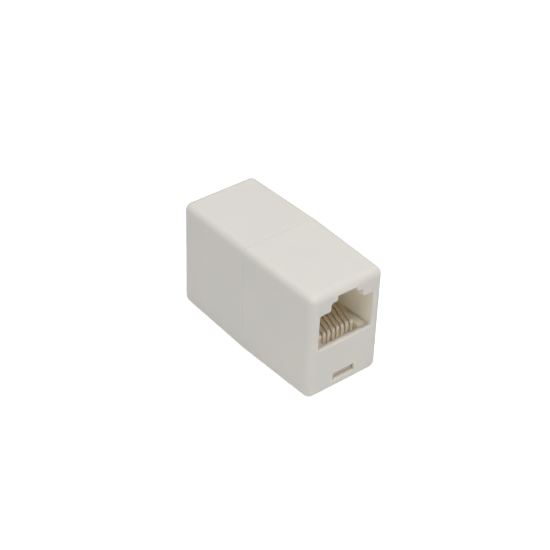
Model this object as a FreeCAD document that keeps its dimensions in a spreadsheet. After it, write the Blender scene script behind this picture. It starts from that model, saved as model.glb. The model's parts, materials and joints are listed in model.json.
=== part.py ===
# An 8-contact modular in-line coupler: two shell halves round two contact carriers on one board.
#
# Frame: millimetres, +Z up, +Y along the coupler, origin at the centre of the underside.
# The front socket opens towards -Y and the rear socket towards +Y.
# Each piece is drawn for the front end; a rear piece is the same drawing turned half a turn about Z.
# A "depth" is measured inwards from the end face that the plug enters.

import FreeCAD, Part
import os
import math
import Sketcher

doc = FreeCAD.newDocument("coupler")

# ---------------------------------------------------------------- driving sizes
SIZES = [
    # outside of the moulded body
    ("half_length", 18.2, "from the seam to an end face"),
    ("side_wall", 2.31, "side wall at the seam, where the body is fullest"),
    ("roof_wall", 1.67, "roof above the latch slot, at the seam"),
    ("side_draft", 0.31, "how far a side leans in between the seam and an end face"),
    ("roof_draft", 0.26, "how far the top and the underside each lean in on the way to an end"),
    ("edge_radius", 1.5, "rounding of the long edges and of the edges of an end face"),
    ("seam_bevel", 0.05, "bevel on each half where they meet"),
    # hollow of a half
    ("end_wall", 1.0, "thickness of the end wall"),
    ("floor_wall", 2.0, "height of the hollow's floor above the underside"),
    ("bay_width", 12.0, "width of the socket opening and of the hollow behind it"),
    # socket opening
    ("sill_height", 10.6, "top of the sill under the plug, above the underside"),
    ("plug_room", 7.35, "height of the opening from the sill to the shoulders over the plug"),
    ("step_width", 7.1, "width of the step that the latch passes through"),
    ("step_rise", 1.65, "height of the step above the shoulders"),
    ("slot_width", 4.3, "width of the slot for the latch's tongue"),
    ("slot_rise", 1.25, "height of the slot above the step; its top is the hollow's roof"),
    ("mouth_corner", 0.38, "rounding of the opening's hollow corners, seen from the end"),
    ("shoulder_corner", 0.5, "rounding of the shoulders' own corners, seen from the end"),
    ("mouth_round", 0.4, "rounding of the opening's rim"),
    # rails that carry the shoulders inwards
    ("rail_plate", 1.2, "thickness of a rail's plate"),
    ("rail_rib", 0.9, "thickness of the rib that hangs the plate from the roof"),
    # window for the carrier's tongue
    ("window_width", 5.0, "width of the window under the socket"),
    ("window_rise", 0.4, "height of the window's lower edge above the hollow's floor"),
    ("window_height", 1.55, "height of the window"),
    # how the halves join
    ("spigot_length", 2.4, "reach of the rear half's spigot"),
    ("spigot_wall", 0.85, "thickness of the spigot"),
    ("spigot_corner", 0.5, "rounding of the spigot's corners"),
    ("spigot_gap", 0.08, "clearance round the spigot and at its end"),
    ("snap_height", 0.25, "how far a snap ridge stands out of the spigot"),
    ("snap_base", 1.0, "width of a snap ridge at its foot"),
    ("snap_length", 7.0, "length of a snap ridge, up the side of the spigot"),
    # circuit board and the ledges it lies on
    ("board_gap", 0.2, "clearance between a carrier's front bar and the board"),
    ("board_side", 0.15, "clearance beside the board"),
    ("board_thickness", 1.6, "thickness of the board"),
    ("ledge_height", 1.4, "height of the ledges, which carry the board's underside"),
    ("ledge_width", 0.9, "width of a ledge under the board"),
    ("hole_gap", 0.15, "clearance beside a contact in its hole"),
    ("notch_reach", 0.9, "how far a locating notch cuts into the board's side"),
    ("notch_length", 1.6, "length of a locating notch"),
    ("notch_setback", 1.5, "from the board's end to the middle of a notch"),
    # contact carrier
    ("carrier_gap", 0.1, "clearance between a carrier and the shell or the board's notch"),
    ("bar_length", 3.1, "length of the carrier's front bar"),
    ("bar_gap", 0.9, "room between the front bar and the contacts' run over it"),
    ("deck_drop", 0.5, "how far the deck, the floor of the plug bay, lies below the sill"),
    ("cheek_drop", 0.15, "how far the cheeks beside the contacts lie below the sill"),
    ("comb_setback", 1.68, "from the carrier's front to the comb's face"),
    ("comb_margin", 0.5, "from the middle of an outer contact to the cheek beside it"),
    ("groove_side", 0.04, "clearance beside a contact in its groove"),
    ("groove_gap", 0.02, "clearance between a contact and the bottom of its groove"),
    ("stop_depth", 10.9, "depth of the wall that stops the plug"),
    ("stop_thickness", 1.6, "thickness of that wall"),
    ("guide_reach", 1.1, "how deep the guide slots go into the stop wall"),
    ("guide_room", 0.8, "height of the guide slots above the tips at rest"),
    ("tongue_reach", 0.4, "how far the carrier's tongue enters the window"),
    # contacts, stamped from strip
    ("contact_width", 0.68, "width of a contact"),
    ("contact_thickness", 0.33, "thickness of a contact"),
    ("contact_edge", 0.07, "bevel along a contact's edges"),
    ("contact_seat", 0.1, "how deep a contact sits in its groove"),
    ("pitch", 1.02, "spacing of the contacts"),
    ("bend_radius", 0.6, "bends of a contact, at the middle of its thickness"),
    ("rise_angle", 28.5, "slope of the sprung arm, degrees above level"),
    ("rise_room", 0.92, "height above the deck at which the arm's line meets the upright"),
    ("tip_reach", 0.6, "how far the arm's tip stands into the stop wall's guide slot"),
    ("deck_room", 2.2, "height of the deck's underside above the board"),
    ("row_setback", 2.9, "from the board's end to its first row of holes"),
    ("row_spacing", 2.54, "distance between the two rows of holes"),
    ("pin_reach", 0.75, "how far a contact stands out below the board"),
    ("solder_spread", 0.35, "how far solder spreads beyond the contact on the board"),
    ("solder_collar", 0.08, "thickness of the solder at its lower end"),
    ("solder_rise", 0.5, "how far solder follows the contact"),
]
CONTACTS = 8

sheet = doc.addObject("Spreadsheet::Sheet", "Sizes")
for row, (alias, number, meaning) in enumerate(SIZES, start=1):
    sheet.set(f"A{row}", alias)
    sheet.set(f"B{row}", str(number))
    sheet.set(f"C{row}", meaning)
    sheet.setAlias(f"B{row}", alias)
doc.recompute()


# ---------------------------------------------------------------- formulas
def bound(formula):
    """A formula of plain aliases, with each alias turned into a reference to the sheet."""
    aliases = {alias for alias, _, _ in SIZES}
    spaced = formula
    for sign in "+-*/()":
        spaced = spaced.replace(sign, f" {sign} ")
    words = [f"Sizes.{word}" if word in aliases else word for word in spaced.split()]
    return " ".join(words).replace("tan (", "tan(")


def value(formula):
    """What a formula of plain aliases comes to now."""
    return float(sheet.evalExpression(bound(formula)))


def inward(depth):
    """The Y of a depth behind the front end face."""
    return f"({depth}) - half_length"


# Heights that several pieces share
CEILING = "(sill_height + plug_room)"
STEP_TOP = f"({CEILING} + step_rise)"
SLOT_TOP = f"({STEP_TOP} + slot_rise)"
SEAM_HEIGHT = f"({SLOT_TOP} + roof_wall)"
WINDOW_LOW = "(floor_wall + window_rise)"
BOARD_LOW = "(floor_wall + ledge_height)"
BOARD_TOP = f"({BOARD_LOW} + board_thickness)"
DECK_UNDER = f"({BOARD_TOP} + deck_room)"
DECK_TOP = "(sill_height - deck_drop)"
RUN_HEIGHT = f"({DECK_UNDER} + contact_seat - contact_thickness / 2)"
RISE_HEIGHT = f"({DECK_TOP} + rise_room)"
PIN_END = f"({BOARD_LOW} - pin_reach)"

# Depths
CARRIER_FRONT = "(end_wall + carrier_gap)"
COMB_DEPTH = f"({CARRIER_FRONT} + comb_setback)"
UPRIGHT_DEPTH = f"({COMB_DEPTH} + contact_seat - contact_thickness / 2)"
BAR_BACK = f"({CARRIER_FRONT} + bar_length)"
BOARD_DEPTH = f"({BAR_BACK} + board_gap)"
CARRIER_BACK = "(stop_depth + stop_thickness)"
TIP_DEPTH = "(stop_depth + tip_reach)"
TIP_HEIGHT = f"({RISE_HEIGHT} + tan(rise_angle) * ({TIP_DEPTH} - {UPRIGHT_DEPTH}))"
FAR_ROW = f"({BOARD_DEPTH} + row_setback + row_spacing)"

# Widths, and the radii round a contact's bend
SEAM_WIDTH = "(bay_width + 2 * side_wall)"
BOARD_WIDTH = "(bay_width - 2 * board_side)"
INNER_BEND = "(bend_radius - contact_thickness / 2)"


def contact_x(index):
    return f"({index} - {(CONTACTS - 1) / 2}) * pitch"


def contact_row(index):
    """Neighbouring contacts go down through the board in two staggered rows."""
    return FAR_ROW if index % 2 else f"({BOARD_DEPTH} + row_setback)"


# ---------------------------------------------------------------- drawing helpers
def new_body(label):
    body = doc.addObject("PartDesign::Body", label)
    body.Label = label
    return body


def new_sketch(body, name, plane, offset=None):
    """A sketch on one of the body's own origin planes, moved along its normal by a formula."""
    sketch = body.newObject("Sketcher::SketchObject", name)
    support = next(f for f in body.Origin.OriginFeatures if f.Role == plane)
    sketch.AttachmentSupport = [(support, "")]
    sketch.MapMode = "FlatFace"
    if offset:
        sketch.setExpression("AttachmentOffset.Base.z", bound(offset))
    return sketch


def constrain(sketch, kind, formula, *items):
    """Add a dimension that follows the sheet."""
    index = sketch.addConstraint(Sketcher.Constraint(kind, *items, value(formula)))
    sketch.setExpression(f"Constraints[{index}]", bound(formula))


def locate(sketch, x, y, geometry, vertex):
    """Place a vertex of the sketch at (x, y), each a formula or "0"."""
    for kind, formula, axis in (("DistanceX", x, -2), ("DistanceY", y, -1)):
        if formula == "0":
            sketch.addConstraint(Sketcher.Constraint("PointOnObject", geometry, vertex, axis))
        else:
            constrain(sketch, kind, formula, -1, 1, geometry, vertex)


def draw(sketch, corners, closed=True):
    """Straight lines through corners given as (x, y) or, for a rounded one, (x, y, radius)."""
    points = [FreeCAD.Vector(value(c[0]), value(c[1]), 0) for c in corners]
    radii = [value(c[2]) if len(c) > 2 else 0.0 for c in corners]
    count = len(corners)
    runs = count if closed else count - 1
    start, end, middle = list(points), list(points), {}
    for i in range(count):
        if radii[i]:
            before = (points[i - 1] - points[i]).normalize()
            after = (points[(i + 1) % count] - points[i]).normalize()
            half = before.getAngle(after) / 2
            cut = radii[i] / math.tan(half)
            end[i], start[i] = points[i] + before * cut, points[i] + after * cut
            middle[i] = points[i] + (before + after).normalize() * (radii[i] / math.sin(half))
    lines = [
        sketch.addGeometry(Part.LineSegment(start[i], end[(i + 1) % count])) for i in range(runs)
    ]
    for i in range(count):
        first_end, last_end = not closed and i == 0, not closed and i == count - 1
        if not radii[i]:
            if not first_end and not last_end:
                join = Sketcher.Constraint("Coincident", lines[i - 1], 2, lines[i], 1)
                sketch.addConstraint(join)
            at = (lines[i - 1], 2) if last_end else (lines[i], 1)
            locate(sketch, corners[i][0], corners[i][1], *at)
            continue
        angles = [math.atan2((p - middle[i]).y, (p - middle[i]).x) for p in (end[i], start[i])]
        left = (points[i] - points[i - 1]).cross(points[(i + 1) % count] - points[i]).z > 0
        circle = Part.Circle(middle[i], FreeCAD.Vector(0, 0, 1), radii[i])
        arc = sketch.addGeometry(Part.ArcOfCircle(circle, *(angles if left else angles[::-1])))
        entry, leave = (1, 2) if left else (2, 1)
        sharp = sketch.addGeometry(Part.Point(points[i]), True)
        sketch.addConstraint(Sketcher.Constraint("Tangent", lines[i - 1], 2, arc, entry))
        sketch.addConstraint(Sketcher.Constraint("Tangent", arc, leave, lines[i], 1))
        constrain(sketch, "Radius", corners[i][2], arc)
        locate(sketch, corners[i][0], corners[i][1], sharp, 1)
        for line in (lines[i - 1], lines[i]):
            sketch.addConstraint(Sketcher.Constraint("PointOnObject", sharp, 1, line))


def box_corners(x_low, x_high, y_low, y_high, radius=None):
    corners = [(x_low, y_low), (x_high, y_low), (x_high, y_high), (x_low, y_high)]
    return [corner + (radius,) for corner in corners] if radius else corners


def mirrored(corners):
    """The same outline on the other side of X = 0, still drawn the same way round."""
    return [(f"-({corner[0]})",) + tuple(corner[1:]) for corner in reversed(corners)]


def add_feature(body, kind, name, sketch, length, reverse=False, symmetric=False):
    """A Pad or Pocket of one sketch; a sketch's normal is where an unreversed Pad goes."""
    feature = body.newObject(f"PartDesign::{kind}", name)
    feature.Profile = sketch
    feature.Reversed = reverse
    feature.SideType = "Symmetric" if symmetric else "One side"
    feature.setExpression("Length", bound(length))
    sketch.Visibility = False
    before = 0 if body.Shape.isNull() else body.Shape.Volume
    doc.recompute()
    gained = body.Shape.Volume - before
    if (gained <= 0) == (kind == "Pad"):
        raise RuntimeError(f"{body.Label}: {name} changed the volume by {gained:.4f}")
    return feature


def add_dressing(body, kind, name, base, size_formula, chosen):
    """A Fillet or Chamfer of the edges of base that pass the test."""
    names = [f"Edge{i}" for i, edge in enumerate(base.Shape.Edges, start=1) if chosen(edge)]
    feature = body.newObject(f"PartDesign::{kind}", name)
    feature.Base = (base, names)
    feature.setExpression("Radius" if kind == "Fillet" else "Size", bound(size_formula))
    doc.recompute()
    return feature


def add_row(body, name, originals, spacing):
    """Repeat features across the contacts, along +X."""
    row_of = body.newObject("PartDesign::LinearPattern", name)
    row_of.Originals = originals
    axis = next(f for f in body.Origin.OriginFeatures if f.Role == "X_Axis")
    row_of.Direction = (axis, [""])
    row_of.Mode = "Spacing"
    row_of.setExpression("Offset", bound(spacing))
    row_of.Occurrences = CONTACTS
    body.Tip = row_of
    doc.recompute()
    return row_of


def in_plane(shape, y):
    return shape.BoundBox.YLength < 1e-4 and abs(shape.BoundBox.YMin - y) < 1e-4


# ---------------------------------------------------------------- shell halves
HOLLOW = ("-bay_width / 2", "bay_width / 2", "floor_wall", SLOT_TOP)


def sleeve(growth):
    """The hollow's outline grown by a formula, for the spigot and for the socket that takes it."""
    return (
        f"-bay_width / 2 - ({growth})",
        f"bay_width / 2 + ({growth})",
        f"floor_wall - ({growth})",
        f"{SLOT_TOP} + ({growth})",
    )


def mouth():
    """Outline of the socket opening: plug, step for the latch and slot for its tongue."""
    right = [
        ("bay_width / 2", "sill_height", "mouth_corner"),
        ("bay_width / 2", CEILING, "mouth_corner"),
        ("step_width / 2", CEILING, "shoulder_corner"),
        ("step_width / 2", STEP_TOP, "mouth_corner"),
        ("slot_width / 2", STEP_TOP, "shoulder_corner"),
        ("slot_width / 2", SLOT_TOP),
    ]
    return right + mirrored(right)


def snap_outline(foot, side):
    """Section of a snap ridge whose foot is at X = foot, and whose middle is at Y = side."""
    crest = "snap_base / 2 - snap_height"
    return [
        (foot, f"{side} - snap_base / 2"),
        (f"{foot} + snap_height", f"{side} - ({crest})"),
        (f"{foot} + snap_height", f"{side} + {crest}"),
        (foot, f"{side} + snap_base / 2"),
    ]


def outside(body):
    """The block of a half, tapering from the seam to the end, rounded everywhere but at the seam."""
    block = body.newObject("PartDesign::AdditiveWedge", "Block")
    extents = {
        "Xmin": f"side_draft - {SEAM_WIDTH} / 2",
        "Xmax": f"{SEAM_WIDTH} / 2 - side_draft",
        "Ymin": "-half_length",
        "Ymax": "0",
        "Zmin": "roof_draft",
        "Zmax": f"{SEAM_HEIGHT} - roof_draft",
        "X2min": f"-{SEAM_WIDTH} / 2",
        "X2max": f"{SEAM_WIDTH} / 2",
        "Z2min": "0",
        "Z2max": SEAM_HEIGHT,
    }
    for corner, formula in extents.items():
        block.setExpression(corner, bound(formula))
    doc.recompute()
    rounded = add_dressing(
        body, "Fillet", "Rounding", block, "edge_radius", lambda edge: not in_plane(edge, 0)
    )
    add_dressing(
        body, "Chamfer", "SeamBevel", rounded, "seam_bevel", lambda edge: in_plane(edge, 0)
    )


def socket(body):
    """The hollow, the opening with its rim, the rails behind the shoulders and the window."""
    sketch = new_sketch(body, "HollowSection", "XZ_Plane")
    draw(sketch, box_corners(*HOLLOW))
    add_feature(body, "Pocket", "Hollow", sketch, "half_length - end_wall", reverse=True)

    rail = [
        ("bay_width / 2", CEILING),
        ("bay_width / 2", f"{CEILING} + rail_plate"),
        ("step_width / 2 + rail_rib", f"{CEILING} + rail_plate"),
        ("step_width / 2 + rail_rib", SLOT_TOP),
        ("step_width / 2", SLOT_TOP),
        ("step_width / 2", CEILING),
    ]
    sketch = new_sketch(body, "RailSection", "XZ_Plane", "half_length - end_wall")
    draw(sketch, rail)
    draw(sketch, mirrored(rail))
    length = f"{CARRIER_BACK} + carrier_gap - end_wall"
    add_feature(body, "Pad", "Rails", sketch, length, reverse=True)

    sketch = new_sketch(body, "Mouth", "XZ_Plane", "half_length")
    draw(sketch, mouth())
    opening = add_feature(body, "Pocket", "Opening", sketch, "end_wall")
    face_y, bay_half, top = value("-half_length"), value("bay_width / 2"), value(SLOT_TOP)

    def on_rim(edge):
        box = edge.BoundBox
        inside = box.XMin > -bay_half - 1e-3 and box.XMax < bay_half + 1e-3
        return inside and box.YMax < face_y + 0.1 and box.ZMin < top - 1e-3

    add_dressing(body, "Fillet", "MouthRim", opening, "mouth_round", on_rim)

    sketch = new_sketch(body, "WindowSection", "XZ_Plane", "half_length")
    half = "window_width / 2"
    draw(sketch, box_corners(f"-{half}", half, WINDOW_LOW, f"{WINDOW_LOW} + window_height"))
    add_feature(body, "Pocket", "Window", sketch, "end_wall")


def ledges(body, length):
    """The ledges that the board lies on, from in front of the spigot joint to behind the bar."""
    sketch = new_sketch(body, "LedgeSection", "XZ_Plane", f"half_length - {BOARD_DEPTH}")
    ledge = box_corners("bay_width / 2 - ledge_width", "bay_width / 2", "floor_wall", BOARD_LOW)
    draw(sketch, ledge)
    draw(sketch, mirrored(ledge))
    add_feature(body, "Pad", "Ledges", sketch, length, reverse=True)


def snaps(body, kind, foot, side):
    """Snap ridges on the spigot, or the grooves that they spring into, on both sides."""
    start = f"{SEAM_HEIGHT} / 2 - snap_length / 2"
    sketch = new_sketch(body, "SnapSection", "XY_Plane", start)
    section = snap_outline(foot, side)
    draw(sketch, section)
    draw(sketch, mirrored(section))
    add_feature(body, kind, "Snaps", sketch, "snap_length", reverse=(kind == "Pocket"))


def front_shell(label):
    body = new_body(label)
    outside(body)
    socket(body)
    ledges(body, f"half_length - {BOARD_DEPTH} - spigot_length - spigot_gap")
    grown = "spigot_wall + spigot_gap"
    sketch = new_sketch(body, "SleeveSection", "XZ_Plane")
    draw(sketch, box_corners(*sleeve(grown), "spigot_corner + spigot_gap"))
    add_feature(body, "Pocket", "Sleeve", sketch, "spigot_length + spigot_gap", reverse=True)
    snaps(body, "Pocket", f"bay_width / 2 + {grown}", "-spigot_length / 2")
    return body


def rear_shell(label):
    body = new_body(label)
    outside(body)
    socket(body)
    sketch = new_sketch(body, "SpigotSection", "XZ_Plane")
    draw(sketch, box_corners(*sleeve("spigot_wall"), "spigot_corner"))
    draw(sketch, box_corners(*HOLLOW))
    add_feature(body, "Pad", "Spigot", sketch, "spigot_length", reverse=True)
    ledges(body, f"half_length - {BOARD_DEPTH} + spigot_length")
    snaps(body, "Pad", "bay_width / 2 + spigot_wall", "spigot_length / 2")
    return body


# ---------------------------------------------------------------- contact carriers
def carrier(label):
    """The insulating block that combs the contacts, stops the plug and stands on the board."""
    body = new_body(label)
    front, back, bar = inward(CARRIER_FRONT), inward(CARRIER_BACK), inward(BAR_BACK)
    comb, stop = inward(COMB_DEPTH), inward("stop_depth")
    cheek_top = "sill_height - cheek_drop"
    sketch = new_sketch(body, "SideProfile", "YZ_Plane")
    low = "floor_wall + carrier_gap"
    profile = [
        (front, low),
        (bar, low),
        (bar, BOARD_TOP),
        (back, BOARD_TOP),
        (back, f"{CEILING} - carrier_gap"),
        (stop, f"{CEILING} - carrier_gap"),
        (stop, cheek_top),
        (front, cheek_top),
    ]
    draw(sketch, profile)
    wide = "bay_width - 2 * carrier_gap"
    add_feature(body, "Pad", "Cheeks", sketch, wide, symmetric=True)

    sketch = new_sketch(body, "DeckProfile", "YZ_Plane")
    bar_top = f"{RUN_HEIGHT} - contact_thickness / 2 - bar_gap"
    around_deck = [
        (front, bar_top),
        (bar, bar_top),
        (bar, BOARD_TOP),
        (back, BOARD_TOP),
        (back, DECK_UNDER),
        (comb, DECK_UNDER, f"{INNER_BEND} + contact_seat"),
        (comb, DECK_TOP),
        (stop, DECK_TOP),
        (stop, cheek_top),
        (front, cheek_top),
    ]
    draw(sketch, around_deck)
    comb_width = f"{CONTACTS - 1} * pitch + 2 * comb_margin"
    add_feature(body, "Pocket", "AroundDeck", sketch, comb_width, symmetric=True)

    groove_end = inward(f"{FAR_ROW} + contact_thickness / 2 + groove_gap")
    groove_top = f"{DECK_UNDER} + contact_seat + groove_gap"
    groove_back = inward(f"{COMB_DEPTH} + contact_seat + groove_gap")
    groove = [
        (comb, DECK_UNDER),
        (groove_end, DECK_UNDER),
        (groove_end, groove_top),
        (groove_back, groove_top, f"{INNER_BEND} - groove_gap"),
        (groove_back, DECK_TOP),
        (comb, DECK_TOP),
    ]
    guide_back = inward("stop_depth + guide_reach")
    guide = box_corners(stop, guide_back, DECK_TOP, f"{TIP_HEIGHT} + guide_room")
    sketch = new_sketch(body, "GrooveProfile", "YZ_Plane", contact_x(0))
    draw(sketch, groove)
    draw(sketch, guide)
    width = "contact_width + 2 * groove_side"
    cut = add_feature(body, "Pocket", "Groove", sketch, width, symmetric=True)
    add_row(body, "Grooves", [cut], "pitch")

    sketch = new_sketch(body, "TongueSection", "XZ_Plane", f"half_length - ({CARRIER_FRONT})")
    half = "window_width / 2 - carrier_gap"
    heights = (f"{WINDOW_LOW} + carrier_gap", f"{WINDOW_LOW} + window_height - carrier_gap")
    draw(sketch, box_corners(f"-({half})", half, *heights))
    add_feature(body, "Pad", "Tongue", sketch, "carrier_gap + tongue_reach")

    sketch = new_sketch(body, "PegSection", "XY_Plane", BOARD_TOP)
    notch_depth, notch_half = f"{BOARD_DEPTH} + notch_setback", "(notch_length / 2 - carrier_gap)"
    peg = box_corners(
        f"{BOARD_WIDTH} / 2 - notch_reach + carrier_gap",
        "bay_width / 2 - carrier_gap",
        inward(f"{notch_depth} - {notch_half}"),
        inward(f"{notch_depth} + {notch_half}"),
    )
    draw(sketch, peg)
    draw(sketch, mirrored(peg))
    add_feature(body, "Pad", "Pegs", sketch, "board_thickness - carrier_gap", reverse=True)
    return body


# ---------------------------------------------------------------- circuit board
def circuit_board(label):
    body = new_body(label)
    half, edge = f"{BOARD_WIDTH} / 2", f"half_length - {BOARD_DEPTH}"
    sketch = new_sketch(body, "BoardOutline", "XY_Plane", BOARD_LOW)
    draw(sketch, box_corners(f"-{half}", half, f"-({edge})", edge))
    add_feature(body, "Pad", "Board", sketch, "board_thickness")

    sketch = new_sketch(body, "HoleCentres", "XY_Plane", BOARD_LOW)
    hole = "contact_width + 2 * hole_gap"
    for turned in ("", "-"):
        for i in range(CONTACTS):
            x, y = f"{turned}({contact_x(i)})", f"{turned}({inward(contact_row(i))})"
            centre = FreeCAD.Vector(value(x), value(y), 0)
            circle = Part.Circle(centre, FreeCAD.Vector(0, 0, 1), value(hole) / 2)
            index = sketch.addGeometry(circle)
            locate(sketch, x, y, index, 3)
            constrain(sketch, "Diameter", hole, index)
    add_feature(body, "Pocket", "Holes", sketch, "board_thickness", reverse=True)

    sketch = new_sketch(body, "NotchOutline", "XY_Plane", BOARD_LOW)
    notch_depth = f"{BOARD_DEPTH} + notch_setback"
    notch = box_corners(
        f"{half} - notch_reach",
        half,
        inward(f"{notch_depth} - notch_length / 2"),
        inward(f"{notch_depth} + notch_length / 2"),
    )
    for corners in (notch, mirrored(notch)):
        draw(sketch, corners)
        draw(sketch, [(x, f"-({y})") for x, y in reversed(corners)])
    add_feature(body, "Pocket", "Notches", sketch, "board_thickness", reverse=True)
    return body


# ---------------------------------------------------------------- contacts and solder
def contact(label, index):
    """One strip: sprung arm, upright at the comb, run under the deck and pin through the board."""
    body = new_body(label)
    row, upright = inward(contact_row(index)), inward(UPRIGHT_DEPTH)
    path = new_sketch(body, "Path", "YZ_Plane", contact_x(index))
    corners = [
        (row, PIN_END),
        (row, RUN_HEIGHT, "bend_radius"),
        (upright, RUN_HEIGHT, "bend_radius"),
        (upright, RISE_HEIGHT, "bend_radius"),
        (inward(TIP_DEPTH), TIP_HEIGHT),
    ]
    draw(path, corners, closed=False)

    section = new_sketch(body, "Section", "XY_Plane", PIN_END)
    wide, thick = "contact_width / 2", "contact_thickness / 2"
    quarter = [(wide, f"{thick} - contact_edge"), (f"{wide} - contact_edge", thick)]
    half = quarter + mirrored(quarter)
    outline = half + [(x, f"-({y})") for x, y in mirrored(half)][::-1]
    middle = contact_x(index)
    draw(section, [(f"{middle} + {x}", f"{row} + {y}") for x, y in outline])
    doc.recompute()
    strip = body.newObject("PartDesign::AdditivePipe", "Strip")
    strip.Profile = section
    strip.Spine = path
    doc.recompute()
    return body


def solder_joints(label):
    """A cone of solder round each pin, on the underside of the board."""
    joints = []
    for i in range(CONTACTS):
        cone = doc.addObject("Part::Cone", f"{label}_cone")
        cone.setExpression("Radius1", bound("contact_width / 2 + solder_collar"))
        cone.setExpression("Radius2", bound("contact_width / 2 + solder_spread"))
        cone.setExpression("Placement.Base.x", bound(contact_x(i)))
        cone.setExpression("Placement.Base.y", bound(inward(contact_row(i))))
        pin = doc.addObject("Part::Box", f"{label}_pin")
        pin.setExpression("Length", bound("contact_width"))
        pin.setExpression("Width", bound("contact_thickness"))
        pin_y = f"{inward(contact_row(i))} - contact_thickness / 2"
        pin.setExpression("Placement.Base.x", bound(f"{contact_x(i)} - contact_width / 2"))
        pin.setExpression("Placement.Base.y", bound(pin_y))
        for piece in (cone, pin):
            piece.setExpression("Height", bound("solder_rise"))
            piece.setExpression("Placement.Base.z", bound(f"{BOARD_LOW} - solder_rise"))
        joint = doc.addObject("Part::Cut", f"{label}_joint")
        joint.Base, joint.Tool = cone, pin
        joints.append(joint)
    group = doc.addObject("Part::Compound", label)
    group.Label = label
    group.Links = joints
    doc.recompute()
    return group


# ---------------------------------------------------------------- the coupler
def half_turn(piece):
    piece.Placement = FreeCAD.Placement(
        FreeCAD.Vector(0, 0, 0), FreeCAD.Rotation(FreeCAD.Vector(0, 0, 1), 180)
    )
    return piece


pieces = [
    front_shell("front_shell"),
    half_turn(rear_shell("rear_shell")),
    carrier("front_carrier"),
    half_turn(carrier("rear_carrier")),
    circuit_board("circuit_board"),
    solder_joints("front_solder_joints"),
    half_turn(solder_joints("rear_solder_joints")),
]
for number in range(1, CONTACTS + 1):
    pieces.append(contact(f"front_contact_{number}", number - 1))
    pieces.append(half_turn(contact(f"rear_contact_{number}", number - 1)))
doc.recompute()

# ---------------------------------------------------------------- checks, then the files
for item in doc.Objects:
    if "Invalid" in item.State or "Error" in item.State:
        raise RuntimeError(f"{item.Label}: {item.State}")
for piece in pieces:
    if piece.Shape.isNull() or not piece.Shape.isValid() or not piece.Shape.Solids:
        raise RuntimeError(f"{piece.Label} has no valid solid")

os.makedirs("parts", exist_ok=True)
for piece in pieces:
    piece.Shape.exportStep(f"parts/{piece.Label}.step")
    box = piece.Shape.BoundBox
    print(
        f"{piece.Label:22s} {len(piece.Shape.Solids):2d} solid  {piece.Shape.Volume:9.3f} mm3  "
        f"X {box.XMin:7.2f}..{box.XMax:6.2f}  Y {box.YMin:7.2f}..{box.YMax:6.2f}  "
        f"Z {box.ZMin:6.2f}..{box.ZMax:6.2f}"
    )
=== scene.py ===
# An 8-contact in-line coupler on a plain white floor: finishes, light and camera
import json
import math

import bpy
from mathutils import Matrix, Vector


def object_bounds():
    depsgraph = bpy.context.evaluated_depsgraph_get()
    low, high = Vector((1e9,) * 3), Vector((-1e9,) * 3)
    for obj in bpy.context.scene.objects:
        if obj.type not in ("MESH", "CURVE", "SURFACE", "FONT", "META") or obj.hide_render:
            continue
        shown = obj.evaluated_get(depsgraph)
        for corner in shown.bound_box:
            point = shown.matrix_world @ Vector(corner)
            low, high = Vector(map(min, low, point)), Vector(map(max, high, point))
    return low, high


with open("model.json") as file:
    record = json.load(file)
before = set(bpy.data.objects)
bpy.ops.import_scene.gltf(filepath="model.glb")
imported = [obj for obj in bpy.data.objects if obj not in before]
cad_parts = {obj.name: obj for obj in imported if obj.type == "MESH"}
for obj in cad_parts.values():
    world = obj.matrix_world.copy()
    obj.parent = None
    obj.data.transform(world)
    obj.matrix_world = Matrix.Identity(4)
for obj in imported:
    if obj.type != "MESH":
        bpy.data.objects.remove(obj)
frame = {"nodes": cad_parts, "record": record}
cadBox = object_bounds()
print("coupler: frame loaded,", len(frame["nodes"]), "nodes")

mm = 0.001
boxLow, boxHigh = (Vector(corner) for corner in cadBox)
bodyCentre = (boxLow + boxHigh) / 2


# ---- helpers for materials
def newMaterial(name):
    material = bpy.data.materials.new(name)
    material.use_nodes = True
    tree = material.node_tree
    return material, tree.nodes, tree.links, tree.nodes["Principled BSDF"]


def addNoise(nodes, links, source, size, detail=2.0, stretch=None):
    # size is that of one patch in metres; a stretch below 1 draws the patches out along that axis
    vector = source
    if stretch:
        mapping = nodes.new("ShaderNodeMapping")
        mapping.inputs["Scale"].default_value = stretch
        links.new(source, mapping.inputs["Vector"])
        vector = mapping.outputs["Vector"]
    noise = nodes.new("ShaderNodeTexNoise")
    noise.inputs["Scale"].default_value = 1 / size
    noise.inputs["Detail"].default_value = detail
    links.new(vector, noise.inputs["Vector"])
    return noise.outputs["Fac"]


def addRamp(nodes, links, factor, places, colours):
    # one colour up to the first place and the other from the second place on
    ramp = nodes.new("ShaderNodeValToRGB")
    for element, place, colour in zip(ramp.color_ramp.elements, places, colours):
        element.position = place
        element.color = (*colour, 1.0)
    links.new(factor, ramp.inputs["Fac"])
    return ramp.outputs["Color"]


def addMix(nodes, links, factor, first, colour):
    # the first input where the factor is 0, the colour where it is 1
    mix = nodes.new("ShaderNodeMix")
    mix.data_type = "RGBA"
    links.new(factor, mix.inputs["Factor"])
    links.new(first, mix.inputs["A"])
    mix.inputs["B"].default_value = (*colour, 1.0)
    return mix.outputs["Result"]


def addRange(nodes, links, factor, low, high):
    scaled = nodes.new("ShaderNodeMapRange")
    scaled.inputs["To Min"].default_value = low
    scaled.inputs["To Max"].default_value = high
    links.new(factor, scaled.inputs["Value"])
    return scaled.outputs["Result"]


def addBump(nodes, links, heights, normal):
    # heights: (socket, depth in metres), fine relief last
    previous = None
    for height, depth in heights:
        bump = nodes.new("ShaderNodeBump")
        bump.inputs["Distance"].default_value = depth
        links.new(height, bump.inputs["Height"])
        if previous:
            links.new(previous, bump.inputs["Normal"])
        previous = bump.outputs["Normal"]
    links.new(previous, normal)


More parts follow.
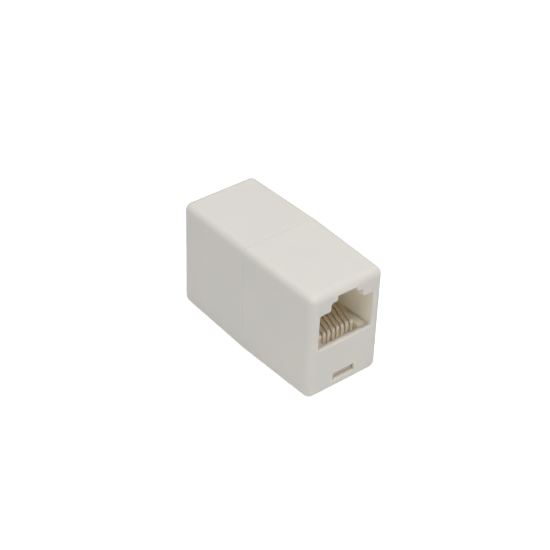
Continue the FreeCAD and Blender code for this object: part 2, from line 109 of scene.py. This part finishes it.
def insideBox(nodes, links, place, box):
    # 1 inside the box and 0 outside it; for each axis the box has its middle and two half sizes
    # in mm, one where the fade starts and one where it ends
    split = nodes.new("ShaderNodeSeparateXYZ")
    links.new(place, split.inputs["Vector"])
    inside = None
    for axis, (middle, inner, outer) in box.items():
        away = nodes.new("ShaderNodeMath")
        away.operation = "SUBTRACT"
        away.inputs[1].default_value = middle * mm
        links.new(split.outputs[axis], away.inputs[0])
        size = nodes.new("ShaderNodeMath")
        size.operation = "ABSOLUTE"
        links.new(away.outputs["Value"], size.inputs[0])
        fade = nodes.new("ShaderNodeMapRange")
        fade.inputs["From Min"].default_value = outer * mm
        fade.inputs["From Max"].default_value = inner * mm
        links.new(size.outputs["Value"], fade.inputs["Value"])
        if inside:
            both = nodes.new("ShaderNodeMath")
            both.operation = "MULTIPLY"
            links.new(inside, both.inputs[0])
            links.new(fade.outputs["Result"], both.inputs[1])
            inside = both.outputs["Value"]
        else:
            inside = fade.outputs["Result"]
    return inside


# ---- finishes
shellFinish = {
    "colours": [(0.800, 0.780, 0.735), (0.815, 0.790, 0.735)],
    "colourPlaces": (0.35, 0.65),
    "patchSize": 9 * mm,
    "grainSize": 0.10 * mm,
    "grainDetail": 3.0,
    "grainDepth": 0.0012 * mm,
    "waveSize": 6 * mm,  # the slight sink and swell of a moulded wall
    "waveDetail": 1.0,
    "waveDepth": 0.012 * mm,
    "roughness": (0.60, 0.70),
    "ior": 1.52,
    # painted glow: the shell's inner walls get a warmer, lighter colour that stands for light passing
    # through the thin walls
    "paintedGlowColour": (0.910, 0.790, 0.640),
    "glowDepth": (0.3 * mm, 8.0 * mm),  # outside, and on the inner walls with light behind them
    "glowSpread": (1.0, 0.92, 0.80),
    "paintedGlowBox": {"X": (0, 6.2, 7.4), "Y": (0, 17.3, 18.2), "Z": (11.4, 9.6, 10.2)},
    "glowBox": {"X": (0, 6.2, 7.4), "Y": (0, 17.3, 18.2), "Z": (15.6, 5.4, 6.0)},
}


def makeShellPlastic():
    material, nodes, links, shader = newMaterial("shellPlastic")
    place = nodes.new("ShaderNodeTexCoord").outputs["Object"]
    patches = addNoise(nodes, links, place, shellFinish["patchSize"])
    outside = addRamp(nodes, links, patches, shellFinish["colourPlaces"], shellFinish["colours"])
    # painted glow: inside this box the colour turns to the warmer, lighter tint of the lit-through
    # inner walls
    inner = insideBox(nodes, links, place, shellFinish["paintedGlowBox"])
    colour = addMix(nodes, links, inner, outside, shellFinish["paintedGlowColour"])
    links.new(colour, shader.inputs["Base Color"])
    grain = addNoise(nodes, links, place, shellFinish["grainSize"], shellFinish["grainDetail"])
    rough = addRange(nodes, links, grain, *shellFinish["roughness"])
    links.new(rough, shader.inputs["Roughness"])
    waves = addNoise(nodes, links, place, shellFinish["waveSize"], shellFinish["waveDetail"])
    relief = [(waves, shellFinish["waveDepth"]), (grain, shellFinish["grainDepth"])]
    addBump(nodes, links, relief, shader.inputs["Normal"])
    shader.inputs["IOR"].default_value = shellFinish["ior"]
    shader.inputs["Subsurface Weight"].default_value = 1.0
    shader.inputs["Subsurface Radius"].default_value = shellFinish["glowSpread"]
    backlit = insideBox(nodes, links, place, shellFinish["glowBox"])
    glow = addRange(nodes, links, backlit, *shellFinish["glowDepth"])
    links.new(glow, shader.inputs["Subsurface Scale"])
    return material


carrierFinish = {
    "colours": [(0.900, 0.805, 0.660), (0.920, 0.845, 0.710)],
    "colourPlaces": (0.3, 0.7),
    "patchSize": 3 * mm,
    "grainSize": 0.08 * mm,
    "grainDetail": 3.0,
    "grainDepth": 0.0015 * mm,
    "roughness": (0.42, 0.55),
    "glowDepth": 1.3 * mm,
    "glowSpread": (1.0, 0.88, 0.72),
    "tongueShadeColour": (0.44, 0.39, 0.33),
    "tongueShadeBox": {"Z": (3.9, 0.2, 1.5)},  # painted shade, darkest at the top of the tongue in the window
}


def makeCarrierPlastic():
    material, nodes, links, shader = newMaterial("carrierPlastic")
    place = nodes.new("ShaderNodeTexCoord").outputs["Object"]
    patches = addNoise(nodes, links, place, carrierFinish["patchSize"])
    ivory = addRamp(nodes, links, patches, carrierFinish["colourPlaces"], carrierFinish["colours"])
    # painted shade: the carrier turns dark tan in a band at the height of the tongue's top, where the
    # window's top edge shades it
    tongue = insideBox(nodes, links, place, carrierFinish["tongueShadeBox"])
    colour = addMix(nodes, links, tongue, ivory, carrierFinish["tongueShadeColour"])
    links.new(colour, shader.inputs["Base Color"])
    grain = addNoise(nodes, links, place, carrierFinish["grainSize"], carrierFinish["grainDetail"])
    rough = addRange(nodes, links, grain, *carrierFinish["roughness"])
    links.new(rough, shader.inputs["Roughness"])
    addBump(nodes, links, [(grain, carrierFinish["grainDepth"])], shader.inputs["Normal"])
    shader.inputs["Subsurface Weight"].default_value = 1.0
    shader.inputs["Subsurface Radius"].default_value = carrierFinish["glowSpread"]
    shader.inputs["Subsurface Scale"].default_value = carrierFinish["glowDepth"]
    return material


contactFinish = {
    "goldColours": [(0.560, 0.470, 0.350), (0.530, 0.430, 0.305)],
    "colourPlaces": (0.35, 0.65),
    "patchSize": 1.2 * mm,
    # partly the tin plating, partly painted light: near white for the uprights lit through the mouth
    "tinWithPaintedLightColour": (0.99, 0.950, 0.87),
    "streakSize": 0.05 * mm,
    "streakStretch": (1.0, 0.12, 0.12),  # rolling marks run along the strip
    "streakDepth": 0.0008 * mm,
    "roughness": (0.38, 0.50),
    "tinRoughness": 1.0,
    "goldBox": {"Y": (0, 15.25, 15.60)},
    # painted highlight along both long sides of each strip
    "edgeHighlightColour": (0.86, 0.78, 0.63),
    "pitch": 1.02 * mm,
    "edgeHighlightFade": (0.29 * mm, 0.17 * mm),  # from a gap's middle to the strip's face and its edge
}


def addEdgeHighlights(nodes, links, place):
    # painted highlight: 1 along both long sides of each strip, where they would catch the light, and
    # 0 on its face
    split = nodes.new("ShaderNodeSeparateXYZ")
    links.new(place, split.inputs["Vector"])
    fromGap = nodes.new("ShaderNodeMath")
    fromGap.operation = "PINGPONG"
    fromGap.inputs[1].default_value = contactFinish["pitch"] / 2
    links.new(split.outputs["X"], fromGap.inputs[0])
    face, edge = contactFinish["edgeHighlightFade"]
    fade = nodes.new("ShaderNodeMapRange")
    fade.inputs["From Min"].default_value = face
    fade.inputs["From Max"].default_value = edge
    links.new(fromGap.outputs["Value"], fade.inputs["Value"])
    return fade.outputs["Result"]


def makeContactMetal():
    # gold plating on the sprung arm, dull tin on the upright in front of it; the tin is also painted
    # near white to stand for the light the uprights catch through the mouth
    material, nodes, links, shader = newMaterial("contactMetal")
    place = nodes.new("ShaderNodeTexCoord").outputs["Object"]
    gold = insideBox(nodes, links, place, contactFinish["goldBox"])
    tin = addRange(nodes, links, gold, 1.0, 0.0)
    patches = addNoise(nodes, links, place, contactFinish["patchSize"])
    face = addRamp(nodes, links, patches, contactFinish["colourPlaces"], contactFinish["goldColours"])
    edgeHighlight = addEdgeHighlights(nodes, links, place)
    # painted highlight: the lighter colour along the strip's sides
    goldWithHighlight = addMix(nodes, links, edgeHighlight, face, contactFinish["edgeHighlightColour"])
    colour = addMix(nodes, links, tin, goldWithHighlight, contactFinish["tinWithPaintedLightColour"])
    links.new(colour, shader.inputs["Base Color"])
    streaks = addNoise(
        nodes, links, place, contactFinish["streakSize"], stretch=contactFinish["streakStretch"]
    )
    rough = addRange(nodes, links, streaks, *contactFinish["roughness"])
    blend = nodes.new("ShaderNodeMix")
    links.new(tin, blend.inputs["Factor"])
    links.new(rough, blend.inputs["A"])
    blend.inputs["B"].default_value = contactFinish["tinRoughness"]
    links.new(blend.outputs["Result"], shader.inputs["Roughness"])
    addBump(nodes, links, [(streaks, contactFinish["streakDepth"])], shader.inputs["Normal"])
    shader.inputs["Metallic"].default_value = 1.0
    return material


boardFinish = {
    "resistColour": (0.020, 0.105, 0.045),
    "weaveColour": (0.035, 0.150, 0.065),
    "weaveSize": 0.45 * mm,
    "roughness": (0.28, 0.40),
}


def makeBoardLaminate():
    material, nodes, links, shader = newMaterial("boardLaminate")
    place = nodes.new("ShaderNodeTexCoord").outputs["Object"]
    weave = nodes.new("ShaderNodeTexChecker")  # the glass cloth showing through the resist
    weave.inputs["Color1"].default_value = (*boardFinish["resistColour"], 1)
    weave.inputs["Color2"].default_value = (*boardFinish["weaveColour"], 1)
    weave.inputs["Scale"].default_value = 1 / boardFinish["weaveSize"]
    links.new(place, weave.inputs["Vector"])
    links.new(weave.outputs["Color"], shader.inputs["Base Color"])
    grain = addNoise(nodes, links, place, boardFinish["weaveSize"])
    rough = addRange(nodes, links, grain, *boardFinish["roughness"])
    links.new(rough, shader.inputs["Roughness"])
    return material


solderFinish = {
    "colours": [(0.46, 0.46, 0.47), (0.62, 0.62, 0.63)],
    "colourPlaces": (0.3, 0.7),
    "grainSize": 0.25 * mm,
    "grainDetail": 3.0,
    "roughness": (0.22, 0.42),
}


def makeSolder():
    material, nodes, links, shader = newMaterial("solderMetal")
    place = nodes.new("ShaderNodeTexCoord").outputs["Object"]
    grain = addNoise(nodes, links, place, solderFinish["grainSize"], solderFinish["grainDetail"])
    colour = addRamp(nodes, links, grain, solderFinish["colourPlaces"], solderFinish["colours"])
    links.new(colour, shader.inputs["Base Color"])
    rough = addRange(nodes, links, grain, *solderFinish["roughness"])
    links.new(rough, shader.inputs["Roughness"])
    shader.inputs["Metallic"].default_value = 1.0
    return material


finishes = {
    "shell_plastic": makeShellPlastic(),
    "carrier_plastic": makeCarrierPlastic(),
    "contact_metal": makeContactMetal(),
    "board_laminate": makeBoardLaminate(),
    "solder": makeSolder(),
}
slotOfNode = {part["node"]: part["material_slot"] for part in frame["record"]["subparts"]}
for nodeName, node in frame["nodes"].items():
    for materialSlot in node.material_slots:
        materialSlot.material = finishes[slotOfNode[nodeName]]
print("coupler: finishes on", len(frame["nodes"]), "nodes")


# ---- floor, light and camera
floorSetup = {
    "size": 3.0,
    "colour": (0.93, 0.93, 0.93),
    "roughness": 0.75,
    "glow": 0.78,  # seen by the camera alone
}


def makeFloor():
    bpy.ops.mesh.primitive_plane_add(size=floorSetup["size"], location=(0, 0, boxLow.z))
    floor = bpy.context.object
    floor.name = "floor"
    material, nodes, links, shader = newMaterial("floorWhite")
    shader.inputs["Base Color"].default_value = (*floorSetup["colour"], 1)
    shader.inputs["Roughness"].default_value = floorSetup["roughness"]
    shader.inputs["Emission Color"].default_value = (1, 1, 1, 1)
    # the glow makes the floor white and lights nothing
    seen = nodes.new("ShaderNodeLightPath").outputs["Is Camera Ray"]
    glow = addRange(nodes, links, seen, 0.0, floorSetup["glow"])
    links.new(glow, shader.inputs["Emission Strength"])
    floor.data.materials.append(material)


# each light: azimuth and elevation seen from the coupler, distance, size and power
lightSetup = {
    "sky": (0.25, 1.0),  # as a light, and as the camera sees it
    "overhead": {"azimuth": -20, "elevation": 78, "distance": 0.45, "size": 0.40, "watts": 1.56},
    "frontLeft": {"azimuth": -40, "elevation": 22, "distance": 0.50, "size": 0.35, "watts": 0.18},
}


def awayFrom(azimuth, elevation):
    # unit vector from the coupler out to that side: azimuth 0 is in front, at -Y
    turn, lift = math.radians(azimuth), math.radians(elevation)
    return Vector(
        (math.sin(turn) * math.cos(lift), -math.cos(turn) * math.cos(lift), math.sin(lift))
    )


def makeLight(name, setup):
    lamp = bpy.data.lights.new(name, "AREA")
    lamp.size = setup["size"]
    lamp.energy = setup["watts"]
    holder = bpy.data.objects.new(name, lamp)
    bpy.context.collection.objects.link(holder)
    outward = awayFrom(setup["azimuth"], setup["elevation"])
    holder.location = bodyCentre + outward * setup["distance"]
    holder.rotation_euler = outward.to_track_quat("Z", "Y").to_euler()


def makeSky():
    world = bpy.data.worlds.new("studio")
    world.use_nodes = True
    nodes, links = world.node_tree.nodes, world.node_tree.links
    background = nodes["Background"]
    background.inputs["Color"].default_value = (1, 1, 1, 1)
    seen = nodes.new("ShaderNodeLightPath").outputs["Is Camera Ray"]
    strength = addRange(nodes, links, seen, *lightSetup["sky"])
    links.new(strength, background.inputs["Strength"])
    bpy.context.scene.world = world


# the lens looks a little beside the coupler's centre, with a slight roll
cameraSetup = {
    "azimuth": -40.045,
    "elevation": 36.601,
    "roll": 2.089,
    "distance": 275.64 * mm,
    "lens": 100.91,
    "sensorWidth": 36,
    "clipStart": 10 * mm,
    "aimRight": -0.766 * mm,
    "aimUp": 1.618 * mm,
}


def makeCamera():
    lens = bpy.data.cameras.new("camera")
    lens.lens = cameraSetup["lens"]
    lens.sensor_width = cameraSetup["sensorWidth"]
    lens.clip_start = cameraSetup["clipStart"]
    camera = bpy.data.objects.new("camera", lens)
    bpy.context.collection.objects.link(camera)
    turn = Matrix.Rotation(math.radians(cameraSetup["azimuth"]), 3, "Z")
    tip = Matrix.Rotation(math.radians(90 - cameraSetup["elevation"]), 3, "X")
    roll = Matrix.Rotation(math.radians(cameraSetup["roll"]), 3, "Z")
    axes = turn @ tip @ roll
    offset = (cameraSetup["aimRight"], cameraSetup["aimUp"], cameraSetup["distance"])
    camera.location = bodyCentre + axes @ Vector(offset)
    camera.rotation_euler = axes.to_euler()
    bpy.context.scene.camera = camera


makeFloor()
for lightName in ("overhead", "frontLeft"):
    makeLight(lightName, lightSetup[lightName])
makeSky()
makeCamera()
bpy.context.scene.view_settings.view_transform = "Standard"
print("coupler: floor, lights and camera placed")
